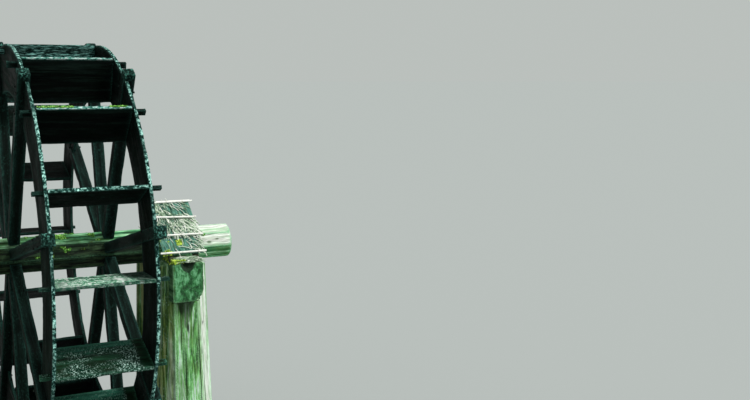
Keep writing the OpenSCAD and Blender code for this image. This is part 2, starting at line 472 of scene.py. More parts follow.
def old_timber(name, shade, worn, stain, crack, rough=(0.62, 0.92), specular=0.35, spread=(0.34, 0.5, 0.64),
               colours_of_tone_and_shading=None, toned_grain=(1.3, 24, 24), toned_spread=(0.455, 0.515, 0.58), bleached_and_sunlit=None,
               lichen=None, lichen_share=0.5, knots=(), relief=1.0, coat=0.0, coat_rough=0.2):
    """Weathered timber: streaks, growth rings, fibres and drying cracks in the wood's own frame, with painted
    shade in the cracks, then stains, zones of painted sunlight, painted highlight and painted shade beside
    real bleaching and tone, worn arrises, lichen and moss."""
    material, shader = empty_finish(name)
    wood = attribute("wood", "Vector")
    bend = vector_calc("SUBTRACT", speckle(wood, (1.1, 3, 3), 3, 0.5, out=1), (0.5, 0.5, 0.5))
    bent = vector_calc("ADD", wood, vector_calc("MULTIPLY", bend, (0.0, 0.05, 0.05)))
    heart = None
    if knots:
        bent, heart = round_knots(bent, knots)
    reach = vector_calc("LENGTH", vector_calc("MULTIPLY", bent, (0, 1, 1)), out="Value")
    rings = rise(calc("SINE", reach * (2 * math.pi / RING)), -0.8, 0.95)
    streaks = speckle(bent, (1.3, 24, 24), 5, 0.62)
    fibres = speckle(bent, (9, 170, 170), 3)
    # Drawn drying cracks; their dark colour is painted shade.
    vein = calc("ABSOLUTE", speckle(bent, (0.8, 15, 15), 2, 0.4, (3, 7, 1)) - 0.5)
    open_here = rise(speckle(wood, (2.2, 6, 6), 2, shift=(9, 2, 5)), 0.5, 0.62)
    split = rise(vein, 0.0, 0.010, 1, 0) * open_here

    blotch = speckle(wood, (2.5, 5, 5), 5, 0.68, (1, 4, 2))
    colour = tint(rise(blotch, 0.44, 0.62, 0, 0.7), shades(streaks, spread, shade), stain)
    # Painted sunlight: paler where the sun value says, on the posts' outer faces and as painted sheen on some
    # floats; on the axle's ends it is partly real bleaching too.
    if bleached_and_sunlit:
        colour = tint(attribute("sun"), colour, shades(streaks, (0.36, 0.56), bleached_and_sunlit))
    # Painted light: the tone colours give painted highlights on wet edges and boards and painted shade on the
    # axle and posts; on other timbers they are real tone.
    if colours_of_tone_and_shading:
        grain = speckle(wood, toned_grain, 6, 0.7, (5, 5, 3))
        colour = tint(attribute("tone_and_shading"), colour, shades(grain, toned_spread, colours_of_tone_and_shading))
    colour = tint(rings * 0.35, colour, (0.35, 0.33, 0.28), "MULTIPLY")
    fine = shades(fibres, (0.34, 0.66), ((0.35,) * 3, (1.6,) * 3))
    colour = tint(0.55, colour, fine, "MULTIPLY")
    if heart:
        colour = tint(rise(heart, 0.45, 0.95, 0, 0.8), colour, crack)
    wear = attribute("wear") * (1.0 - attribute("tone_and_shading") * 0.8)
    grit = speckle(wood, (60, 120, 120), 3, 0.7)
    bared = wear * rise(grit, 0.4, 0.6, 0.1, 1)
    colour = tint(bared, colour, worn)
    if lichen:
        crust = rise(speckle(wood, (42, 60, 60), 5, 0.75), 0.52, 0.62)
        patch = rise(speckle(wood, (5, 9, 9), 3, 0.6, (7, 7, 7)), 0.4, 0.6)
        colour = tint(crust * patch * lichen_share, colour, lichen)
    # Painted shade in cracks, drawn splits and knot hollows, in the crack colour; the same value carries
    # painted shadow, rot and stains.
    shade_stain_share = calc("MAXIMUM", rise(attribute("gap"), 0.45, 0.8), split * 0.85)
    colour = tint(shade_stain_share, colour, crack)
    tufty = speckle(wood, (38, 38, 38), 6, 0.75)
    moss_share = rise(attribute("moss") + tufty * 1.1, 0.92, 1.12)
    green = shades(speckle(wood, (90, 90, 90), 4, 0.7), (0.38, 0.5, 0.62), MOSS_GREENS)

    matt = rise(streaks * 0.5 + blotch * 0.5, 0.4, 0.6, *rough)
    height = rings * 0.35 + fibres * 0.5 + streaks * 1.1 - shade_stain_share * 2.4
    height = height + moss_share * (tufty * 3.0) + bared * (grit * 0.5)
    normal = bump(height, 0.8 * relief, 0.004)
    plug(shader, {
        "Base Color": tint(moss_share, colour, green), "Normal": normal, "Specular IOR Level": specular,
        "Roughness": add_node("ShaderNodeMix", {0: moss_share, 2: matt, 3: 0.95}),
        "Coat Weight": coat, "Coat Roughness": coat_rough, "Coat IOR": 1.33})
    if coat:
        plug(shader, {"Coat Normal": normal})
    return material


DARK_BOARD = {
    "shade": ((0.0006, 0.0014, 0.0011), (0.0018, 0.0042, 0.0034), (0.009, 0.020, 0.016)),
    "worn": (0.026, 0.085, 0.070), "stain": (0.0012, 0.0045, 0.0022), "crack": (0.0008, 0.001, 0.0008),
    "rough": (0.6, 0.95), "specular": 0.05}
# Its light tones are a painted highlight on the wet outer edges of the rims and floats.
WET_BOARD = old_timber(
    "wet_board", **DARK_BOARD, colours_of_tone_and_shading=((0.001, 0.014, 0.011), (0.055, 0.25, 0.21), (0.55, 0.98, 0.89)),
    toned_grain=(38, 38, 38), toned_spread=(0.465, 0.515, 0.565), lichen=(0.026, 0.092, 0.075),
    lichen_share=0.3)
TOP_BOARD = old_timber(
    "top_board", **DARK_BOARD, colours_of_tone_and_shading=((0.001, 0.014, 0.011), (0.014, 0.075, 0.066), (0.26, 0.58, 0.53)),
    toned_grain=(14, 105, 105))
# Painted highlight: a bright line along the outer edge of two floats.
EDGE_LIT_BOARD = old_timber(
    "edge_lit_board", **DARK_BOARD, colours_of_tone_and_shading=((0.015, 0.090, 0.070), (0.17, 0.55, 0.46), (0.85, 1.0, 1.0)),
    toned_grain=(24, 38, 38), toned_spread=(0.42, 0.5, 0.575))
# A lit copy of the wet board: painted reflection on a float's upper face, with painted glints.
SUNLIT_BOARD = old_timber(
    "sunlit_board", ((0.0012, 0.006, 0.004), (0.004, 0.020, 0.012), (0.014, 0.060, 0.040)),
    (0.030, 0.10, 0.075), (0.002, 0.008, 0.005), (0.004, 0.010, 0.007), rough=(0.5, 0.85), specular=0.06,
    colours_of_tone_and_shading=((0.005, 0.060, 0.028), (0.15, 0.55, 0.32), (0.90, 1.0, 0.95)), toned_grain=(34, 26, 26),
    toned_spread=(0.42, 0.5, 0.575), bleached_and_sunlit=((0.42, 0.82, 0.64), (1.0, 1.0, 1.0)),
    lichen=(0.66, 0.95, 0.80), lichen_share=0.3)
# Soaked boards with painted glints and a painted sheen on the upper face.
SOAKED_GLINT_BOARD = old_timber(
    "soaked_glint_board", ((0.0010, 0.0075, 0.0030), (0.006, 0.032, 0.014), (0.024, 0.10, 0.055)),
    (0.06, 0.20, 0.13), (0.006, 0.012, 0.003), (0.001, 0.002, 0.001), rough=(0.35, 0.8), specular=0.04,
    colours_of_tone_and_shading=((0.0008, 0.014, 0.007), (0.012, 0.090, 0.052), (0.70, 1.0, 0.92)), toned_grain=(90, 60, 60),
    toned_spread=(0.45, 0.535, 0.61), bleached_and_sunlit=((0.010, 0.075, 0.048), (0.045, 0.22, 0.15)),
    relief=1.2, coat=0.05, coat_rough=0.12)
ARM_TIMBER = old_timber(
    "arm_timber", ((0.0008, 0.0018, 0.0014), (0.0026, 0.0058, 0.0048), (0.011, 0.026, 0.022)),
    (0.026, 0.085, 0.070), (0.0014, 0.0055, 0.003), (0.0008, 0.001, 0.0008), rough=(0.6, 0.92),
    specular=0.06, colours_of_tone_and_shading=((0.001, 0.007, 0.005), (0.005, 0.030, 0.024), (0.11, 0.34, 0.28)),
    toned_grain=(40, 50, 50), lichen=(0.030, 0.10, 0.080), lichen_share=0.35)
# Its dark tones are painted shade inside the wheel; its pale tones on the ends are partly real bleaching,
# partly painted light from above.
AXLE_LOG = old_timber(
    "axle_log", ((0.012, 0.12, 0.045), (0.13, 0.50, 0.20), (0.50, 0.92, 0.56)),
    (0.20, 0.58, 0.30), (0.105, 0.21, 0.030), (0.08, 0.15, 0.06), rough=(0.6, 0.9), specular=0.15,
    spread=(0.42, 0.5, 0.58),
    colours_of_tone_and_shading=((0.0008, 0.0022, 0.0012), (0.0045, 0.0110, 0.0045), (0.026, 0.050, 0.022)),
    toned_grain=(6, 34, 34), bleached_and_sunlit=((0.40, 0.64, 0.40), (0.93, 0.98, 0.91)),
    knots=((4.45, 0.020, 0.040, 0.020), (4.535, 0.042, 0.030, 0.012)))
# Its dark tones are painted shade, with olive stain, on the inner face; its pale tones are painted sunlight
# on the outer face.
POST_LOG = old_timber(
    "post_log", ((0.018, 0.12, 0.022), (0.25, 0.75, 0.22), (0.78, 1.0, 0.88)),
    (0.42, 0.78, 0.42), (0.085, 0.25, 0.045), (0.008, 0.020, 0.006), spread=(0.42, 0.5, 0.575),
    colours_of_tone_and_shading=((0.008, 0.026, 0.002), (0.120, 0.205, 0.028), (0.46, 0.50, 0.22)), toned_spread=(0.42, 0.5, 0.58),
    bleached_and_sunlit=((0.16, 0.36, 0.13), (0.98, 1.0, 0.98)), lichen=(0.56, 0.92, 0.66), lichen_share=0.4,
    knots=((1.44, 0.0, 0.06, 0.022), (0.62, 0.07, 0.08, 0.03)))
BEAM_LOG = old_timber(
    "beam_log", ((0.016, 0.060, 0.022), (0.055, 0.18, 0.065), (0.18, 0.38, 0.18)),
    (0.13, 0.30, 0.14), (0.03, 0.10, 0.03), (0.005, 0.020, 0.007),
    colours_of_tone_and_shading=((0.010, 0.080, 0.020), (0.048, 0.26, 0.078), (0.19, 0.55, 0.27)), toned_grain=(9, 22, 12),
    toned_spread=(0.41, 0.5, 0.59), lichen=(0.24, 0.50, 0.32), lichen_share=0.35)
RAFTER_POLE = old_timber(
    "rafter_pole", ((0.010, 0.016, 0.008), (0.035, 0.050, 0.024), (0.09, 0.12, 0.06)),
    (0.10, 0.13, 0.07), (0.02, 0.04, 0.015), (0.005, 0.006, 0.004))


# Finishes of bark, canes and small growth

def bark_finish():
    material, shader = empty_finish("bark_sheet")
    wood = attribute("wood", "Vector")
    fibre = speckle(wood, (7, 130, 60), 5, 0.7)
    patch = speckle(wood, (9, 16, 16), 5, 0.65, (5, 1, 3))
    colour = shades(fibre, (0.34, 0.5, 0.66),
                    ((0.016, 0.060, 0.045), (0.060, 0.21, 0.16), (0.20, 0.46, 0.36)))
    colour = tint(rise(patch, 0.47, 0.66, 0, 0.6), colour, (0.10, 0.15, 0.07))
    lichen = speckle(wood, (60, 60, 60), 5, 0.75)
    colour = tint(rise(lichen, 0.56, 0.66, 0, 0.5), colour, (0.36, 0.50, 0.42))
    tufty = speckle(wood, (30, 30, 30), 6, 0.75)
    moss_share = rise(attribute("moss") + tufty * 0.7, 0.72, 0.95)
    plug(shader, {"Base Color": tint(moss_share, colour, (0.13, 0.21, 0.03)), "Roughness": 0.86,
                  "Specular IOR Level": 0.3, "Normal": bump(fibre * 1.6 + lichen * 0.6, 0.9, 0.005)})
    return material


def cane_finish():
    material, shader = empty_finish("batten_cane")
    place = add_node("ShaderNodeTexCoord", None, "Object")
    lines = speckle(place, (6, 180, 180), 3)
    grey = speckle(place, (14, 14, 14))
    colour = shades(lines, (0.3, 0.5, 0.7), ((0.80, 0.82, 0.76), (1.0, 1.0, 0.95), (1.0, 1.0, 1.0)))
    colour = tint(rise(grey, 0.5, 0.72, 0, 0.25), colour, (0.66, 0.72, 0.62))
    plug(shader, {"Base Color": tint(attribute("joint") * 0.5, colour, (0.25, 0.22, 0.13)),
                  "Roughness": 0.48, "Normal": bump(lines, 0.4, 0.002)})
    return material


def small_finish(name, colours, grain, rough, deep):
    """A mottled finish for moss, straw and pegs, each one in its own shade."""
    material, shader = empty_finish(name)
    mottle = speckle(add_node("ShaderNodeTexCoord", None, "Object"), grain, 4, 0.7)
    colour = shades(mottle * 0.8 + attribute("shade") * 0.4, (0.36, 0.58, 0.78), colours)
    plug(shader, {"Base Color": colour, "Roughness": rise(mottle, 0.3, 0.7, rough - 0.1, rough),
                  "Specular IOR Level": 0.25, "Normal": bump(mottle, 0.8, deep)})
    return material


BARK = bark_finish()
CANE = cane_finish()
MOSS = small_finish("moss", ((0.030, 0.090, 0.008), (0.32, 0.52, 0.040), (0.82, 1.0, 0.18)),
                    (70, 70, 70), 0.95, 0.004)
WET_MOSS = small_finish("wet_moss", ((0.014, 0.075, 0.006), (0.10, 0.34, 0.040), (0.40, 0.80, 0.18)),
                        (70, 70, 70), 0.95, 0.004)
STRAW = small_finish("straw", ((0.03, 0.09, 0.045), (0.44, 0.62, 0.42), (1.0, 1.0, 0.95)),
                     (60, 60, 60), 0.8, 0.002)
PEG = small_finish("peg_wood", ((0.004, 0.008, 0.006), (0.014, 0.028, 0.022), (0.06, 0.10, 0.08)),
                   (60, 160, 160), 0.75, 0.003)


# The wheel

def float_shell(timber, angle, seed):
    """One float board with its two through tenons. Its grain runs along the axle."""
    dice = np.random.default_rng(seed)
    board = plank_loop(FLOAT_DEPTH, FLOAT_THICK, 0.016, 0.004)
    tenon = board * (TENON_W / FLOAT_DEPTH, 1)
    tenon_r = WHEEL_R - TENON_INSET - TENON_W / 2
    rows = []
    for start, end, step, loop, middle in ((-TENON_END, -RIM_IN, 0.03, tenon, tenon_r),
                                           (-RIM_IN, RIM_IN, 0.016, board, FLOAT_R),
                                           (RIM_IN, TENON_END, 0.03, tenon, tenon_r)):
        for x in stops_along(start, end, step):
            rows.append([(x, -middle - across, through) for across, through in loop])
    points, faces, _ = skin(rows, (2, 2))
    wood = points + (dice.uniform(-9, 9), dice.uniform(0.06, 0.2) + 1.75,
                     dice.choice((-1, 1)) * dice.uniform(0.04, 0.12))
    timber.add(points, faces, wood, wheel_place(angle))


def make_floats():
    # Float 1 takes the lit copy of the board, floats 3 and 4 a painted highlight line, floats 15 and 16
    # painted glints.
    finishes = {0: SUNLIT_BOARD, 2: EDGE_LIT_BOARD, 3: EDGE_LIT_BOARD, 4: TOP_BOARD,
                14: SOAKED_GLINT_BOARD, 15: SOAKED_GLINT_BOARD}
    for i in range(16):
        angle = FLOAT_TURN + FLOAT_STEP * i
        turn = math.radians(angle)
        timber = Timber()
        float_shell(timber, angle, 100 + i)

        def through(co):
            return co[:, 1] * math.sin(turn) + (co[:, 2] - AXLE_Z) * math.cos(turn)

        def upper(normal):
            return ease(normal[:, 1] * math.sin(turn) + normal[:, 2] * math.cos(turn), 0.6, 0.9)

        def moss(co, normal, worn):
            x = co[:, 0]
            patchy = patches(co, 4, 40 + i, -0.2, 0.7)
            if i != 2:
                return 0.28 * outer_edge_patches(co, 33, 1.955, 1.99) * patchy * (np.abs(x) < 0.4)
            mossy = (x > -0.395) & (x < -0.09) | (x > 0.20) & (x < 0.345)
            back = ease(from_axle(co), 1.970, 1.984) * ease(through(co), -0.006, 0.002)
            return mossy * back * (0.8 + 0.2 * patchy)

        # Painted sheen and glints on the upper face: bright patches near the front of float 1, and a paler
        # zone away from the back edge of floats 15 and 16.
        def painted_sheen(co, normal, worn):
            x = co[:, 0]
            if i in (14, 15):
                back = ease(from_axle(co) + 0.03 * rough_noise(co * 12, 23), 1.62, 1.76)
                return upper(normal) * (1 - back) * (x < 0.3)
            bright = hump(x, 0.11, 0.09) + 0.6 * hump(x, -0.30, 0.09)
            front = ease(-co[:, 1], 1.70, 1.80) * patches(co, 12, 21, -0.5, 0.3)
            return (i == 0) * upper(normal) * np.clip(bright, 0, 1) * front

        # Painted highlight: glints along the outer edge; a bright line along the edge of floats 3 and 4;
        # painted reflection on float 1's upper face, left dark at its right end and along a line near its
        # back edge; glints on floats 15 and 16. On float 5 the tone is real streaks.
        def tone_and_shading(co, normal, worn):
            x = co[:, 0]
            share = outer_edge_patches(co, 33) * (1 - ease(np.abs(x), 0.4, 0.41) * 0.6)
            if i in (2, 3):
                lit_edge = ease(from_axle(co), *OUTER_EDGE_R) * (np.abs(x) < 0.4)
                share = lit_edge * (0.25 + 0.75 * ease(-through(co), -0.008, 0.002))
            if i == 0:
                dull = 0.9 * ease(x + 0.15 * (co[:, 1] + 1.8) + 0.02 * rough_noise(co * 20, 22), 0.19, 0.25)
                line = 0.9 * hump(co[:, 1], -1.665, 0.022)
                share = upper(normal) * (np.abs(x) < 0.4) * (1 - np.maximum(dull, line))
                share = np.maximum(share * (1 - 0.85 * painted_sheen(co, normal, worn)), 0.3 * outer_edge_patches(co, 33))
            if i in (14, 15):
                glint_zone = 0.85 * patches(co, (5, 9, 9), 25, -0.7, 0.3) + 0.9 * hump(x, 0.24, 0.07)
                glint_zone = np.clip(glint_zone, 0, 1) * (1 - 0.8 * painted_sheen(co, normal, worn))
                share = np.maximum(share, upper(normal) * glint_zone * ease(-x, -0.32, -0.29))
            if i == 4:
                share = np.maximum(share, 0.35 + 0.65 * patches(co, (7, 40, 40), 4, -0.4, 0.6))
            return share

        worn_piece(f"float_board_{i + 1}", timber, finishes.get(i, WET_BOARD), "wheel", [f"float_{i + 1}"],
                   0.0022, 0.007, moss=moss, tone_and_shading=tone_and_shading, sun=painted_sheen, seed=100 + i)


def make_rims():
    loop = plank_loop(WHEEL_R - RIM_INNER_R, RIM_OUT - RIM_IN, 0.018)
    half_gap = 0.022
    for side, sign in SIDES:
        timber = Timber()
        for k in range(8):
            dice = np.random.default_rng(300 + 10 * k + sign)
            short = dice.uniform(0, 0.004)
            r = (WHEEL_R + RIM_INNER_R) / 2 + loop[:, 0] - short * (loop[:, 0] > 0)
            x = (RIM_IN + RIM_OUT) / 2 + loop[:, 1]
            rows = []
            for s in stops_along(-1, 1, 2 / 84):
                a = s * (math.radians(ARM_STEP / 2) - np.arcsin(half_gap / r))
                rows.append(np.stack([x, -r * np.cos(a), r * np.sin(a)], -1))
            points, faces, _ = skin(rows)
            wood = points[:, [2, 1, 0]] + (dice.uniform(-9, 9), 1.6 + dice.uniform(0.0, 0.3),
                                           dice.uniform(0.03, 0.1) - RIM_IN)
            timber.add(points, faces, wood, wheel_place(ARM_TURN + ARM_STEP * (k + 0.5)), mirror=sign < 0)

        def moss(co, normal, worn):
            return 0.3 * worn * patches(co, 5, 60, 0.0, 0.8)

        # Painted highlight along the rims' wet outer edge.
        def tone_and_shading(co, normal, worn):
            return outer_edge_patches(co, 34)

        worn_piece(f"{side}_rim_boards", timber, WET_BOARD, "wheel", [f"{side}_rim"],
                   0.002, 0.006, moss=moss, tone_and_shading=tone_and_shading, seed=320 + sign)


def arm_shell(timber, angle, sign, seed):
    """One squared arm, rooted in the axle, with a bevelled tip."""
    dice = np.random.default_rng(seed)
    half = (ARM_OUT - ARM_IN) / 2
    middle = (ARM_OUT + ARM_IN) / 2
    loop = plank_loop(2 * half, 2 * half, 0.0135)
    stops = [(r, 1 if r > 0.172 else 0.7) for r in stops_along(0.1, ARM_TIP_R - 0.014, 0.020)]
    stops += [(ARM_TIP_R - 0.005, 0.9), (ARM_TIP_R, 0.8)]
    rows = [[(middle + x * size, -r, z * size) for x, z in loop] for r, size in stops]
    points, faces, _ = skin(rows, (1, 4))
    wood = points[:, [1, 0, 2]] + (dice.uniform(-9, 9), dice.uniform(0.02, 0.1) - middle,
                                   dice.uniform(-0.06, 0.06))
    timber.add(points, faces, wood, wheel_place(angle), mirror=sign < 0)


def make_arms():
    def moss(co, normal, worn):
        return 0.25 * worn * patches(co, 6, 80, 0.1, 0.8)

    def tone_and_shading(co, normal, worn):
        return ease(from_axle(co), 1.99, 2.05) * patches(co, 16, 81, -0.9, 0.4)

    for side, sign in SIDES:
        for k in range(4):
            timber = Timber()
            for half in (0, 4):
                arm_shell(timber, ARM_TURN + ARM_STEP * (k + half), sign, 500 + 20 * sign + k + half)
            worn_piece(f"{side}_arms_{k + 1}", timber, ARM_TIMBER, "wheel", [f"{side}_arm_pair_{k + 1}"],
                       0.0025, 0.007, moss=moss, tone_and_shading=tone_and_shading, seed=520 + k + sign)


def crack_rows(rows, start=0):
    """Cracks of a log as (direction, start, end, depth), from rows that give the direction in degrees."""
    return [(math.radians(start + degrees), *rest) for degrees, *rest in rows]


def log_angles(count, cracks, width):
    """Directions round a log, with three close ones at each crack."""
    base = [math.tau * i / count for i in range(count)]
    for crack in cracks:
        base = [a for a in base if abs((a - crack + math.pi) % math.tau - math.pi) > width * 1.6]
    for crack in cracks:
        base += [(crack + way) % math.tau for way in (-width, 0, width)]
    return np.array(sorted(base))


def nearest(angles, direction):
    """Which one of the directions is closest to a given one."""
    return int(np.argmin(np.abs((angles - direction + math.pi) % math.tau - math.pi)))


def snapped(angles, corners):
    """Moves the nearest direction onto each corner, given as (across, up) from the middle."""
    angles = angles.copy()
    for across, up in corners:
        direction = math.atan2(up, across) % math.tau
        angles[nearest(angles, direction)] = direction
    return angles


def cracked(angles, cracks, at):
    """How deep each direction is cracked at one place along the log."""
    depth = np.zeros(len(angles))
    for direction, start, end, deep in cracks:
        column = nearest(angles, direction)
        t = (at - start) / (end - start)
        if 0 < t < 1:
            depth[column] = max(depth[column], deep * math.sin(math.pi * t) ** 0.6)
    return depth


def crack_shade(points, angles, cracks, n, along):
    """How much painted shade each point of a log whose loops hold n points takes from its cracks: 1 in a
    crack, 0.5 on its lips."""
    gap, place = np.zeros(len(points)), np.arange(len(points)) % n
    for direction, start, end, _ in cracks:
        column = nearest(angles, direction)
        here = np.sin(math.pi * np.clip((points[:, along] - start) / (end - start), 0, 1)) ** 0.6
        for beside, share in ((0, 1), (-1, 0.5), (1, 0.5)):
            gap = np.maximum(gap, (place == (column + beside) % n) * here * share)
    return gap


def make_axle():
    cracks = crack_rows((
        (131, 1.36, 1.9, 0.012), (205, 1.3, 1.95, 0.018), (62, -0.36, 0.33, 0.014), (118, -0.1, 0.38, 0.010),
        (290, 1.3, 1.9, 0.02), (340, -0.35, 0.2, 0.012), (62, -1.95, -1.30, 0.02), (205, -1.9, -1.34, 0.015),
        (290, -1.9, -1.3, 0.02), (160, -0.3, 0.35, 0.012)))
    angles = log_angles(88, sorted({c[0] for c in cracks}), math.radians(1.2))
    edges = np.radians(ARM_TURN + ARM_STEP / 2 + ARM_STEP * np.arange(8))
    angles = snapped(angles, [(math.cos(a), math.sin(a)) for a in edges])
    offset = (np.degrees(angles) - ARM_TURN + ARM_STEP / 2) % ARM_STEP - ARM_STEP / 2
    flat = AXLE_FLAT / np.cos(np.radians(offset))
    corner = AXLE_FLAT / math.cos(math.radians(ARM_STEP / 2))
    neck_lo, neck_hi = BEAM_LO.x - NECK_PLAY, BEAM_HI.x + NECK_PLAY
    rows = []
    for lo, hi, neck in ((-AXLE_HALF, -neck_hi, False), (-neck_hi, -neck_lo, True),
                         (-neck_lo, neck_lo, False), (neck_lo, neck_hi, True), (neck_hi, AXLE_HALF, False)):
        places = stops_along(lo, hi, 0.024)
        if hi == AXLE_HALF:
            places[-2:] = [AXLE_HALF - AXLE_BEVEL, AXLE_HALF - AXLE_TIP_RING, AXLE_HALF]
        if lo == -AXLE_HALF:
            places[:2] = [-AXLE_HALF, -AXLE_HALF + AXLE_TIP_RING, -AXLE_HALF + AXLE_BEVEL]
        for x in places:
            cone = corner + 0.001 - np.clip(abs(x) - (AXLE_HALF - AXLE_BEVEL), 0, 1) * 27 / 26
            r = np.minimum(NECK_R if neck else flat, cone) - cracked(angles, cracks, x)
            rows.append(np.stack([np.full(len(r), x), -r * np.cos(angles), r * np.sin(angles)], -1))
    points, faces, n = skin(rows, (8, 8))
    ring = np.hypot(points[:, 1], points[:, 2]) / AXLE_FLAT
    for direction, start, end, deep in cracks:
        picked = np.arange(len(points)) % n == nearest(angles, direction)
        for tipped, way in ((end >= 1.9, 1), (start <= -1.9, -1)):
            tip = picked & tipped & (way * points[:, 0] > AXLE_HALF - 0.002)
            points[tip, 0] -= way * 0.6 * deep * ease(ring[tip], 0.1, 0.9)
    wood = points[:, [0, 2, 1]] + (3.0, -0.008, 0.012)
    timber = Timber()
    timber.add(points, faces, wood, Matrix.Translation((0, 0, AXLE_Z)),
               gap=crack_shade(points, angles, cracks, n, 0))

    def moss(co, normal, worn):
        x = co[:, 0]
        inside = ease(-np.abs(x), -0.40, -0.36)
        top = ease(normal[:, 2] - 0.35 * normal[:, 1], 0.1, 0.8)
        thick = 0.08 + 0.25 * ease(-np.abs(x + 0.08), -0.3, -0.1) + 0.45 * patches(co, 16, 3, -0.2, 0.8)
        tuft = np.exp(-(((x - 1.39) / 0.028) ** 2) - ((co[:, 2] - 2.295) / 0.020) ** 2)
        return inside * top * thick + 0.8 * tuft * (co[:, 1] < 0)

    # Painted shade: inside the wheel the log is dark except on its lit upper facets.
    def tone_and_shading(co, normal, worn):
        mottle = 0.35 + 0.65 * patches(co, (11, 50, 50), 6, -0.6, 0.3)
        lit = np.maximum(ease(normal[:, 2], 0.50, 0.72), 0.035 * ease(normal[:, 2], 0.0, 0.15))
        return ease(-np.abs(co[:, 0]), -1.0, -0.86) * (1 - mottle * lit)

    # Paler upper facets on the ends outside the wheel: partly real bleaching, partly painted light from
    # above.
    def sun(co, normal, worn):
        return ease(np.abs(co[:, 0]), 0.9, 1.1) * ease(normal[:, 2], -0.2, 0.15)

    worn_piece("axle_log", timber, AXLE_LOG, "wheel", ["axle"], 0.0035, 0.006,
               moss=moss, tone_and_shading=tone_and_shading, sun=sun, seed=11)


# The supports

def hull_reach(angles, faces):
    """Distance from the middle to a hewn outline in each direction. A face is (direction, distance)."""
    reach = np.full(len(angles), 9.0)
    for direction, distance in faces:
        facing = np.cos(angles - direction)
        reach = np.where(facing > 0.05, np.minimum(reach, distance / np.maximum(facing, 0.05)), reach)
    return reach


def squared(w, h, c, corners):
    """The faces of a squared log, with hewn corners at a distance c from its middle."""
    faces = [(0, w), (math.pi, w), (math.pi / 2, h), (-math.pi / 2, h)]
    return faces + [(math.pi / 4 + k * math.pi / 2, c) for k in range(corners)]


def post_outline(angles, z):
    """The directions and distances of a post's outline at one height."""
    top_w, top_d = POST_W / 2, POST_D / 2
    top_c = (top_w + top_d - POST_CORNER) / math.sqrt(2)
    w, d, c = (size + POST_FLARE * (1 - z / POST_TOP) for size in (top_w, top_d, top_c))
    corners = [(a * x, b * y) for a in (-1, 1) for b in (-1, 1)
               for x, y in ((w, c * math.sqrt(2) - w), (c * math.sqrt(2) - d, d))]
    here = snapped(angles, corners)
    return here, hull_reach(here, squared(w, d, c, 4))


def post_shadow_and_drip(points, front):
    """Painted shadow in a band under the beam, and a dark drip stain down the middle of the post's face."""
    x, y, z = points.T
    # Painted shadow: a dark band just below the beam on the post's front face.
    painted_shadow = ease(z, BEAM_LO.z - 0.05, BEAM_LO.z - 0.01) * (z < BEAM_LO.z + 0.01)
    painted_shadow = painted_shadow * (np.abs(x - SUPPORT_X) < 0.15) * (y * front > POST_Y)
    off = np.abs(x - SUPPORT_X + 0.005) + 0.012 * rough_noise(points * (20, 0, 6), 8)
    drip = ease(0.028 + 0.34 * np.maximum(z - 1.47, 0) - off, -0.012, 0.02)
    drip = drip * ease(z, 1.37, 1.45) * (z < BEAM_LO.z) * (y * front > 0.5)
    drip = drip * (0.60 + 0.12 * ease(z, 1.48, 1.64) + 0.07 * rough_noise(points * (40, 0, 8), 18))
    return np.maximum(0.74 * painted_shadow, drip)


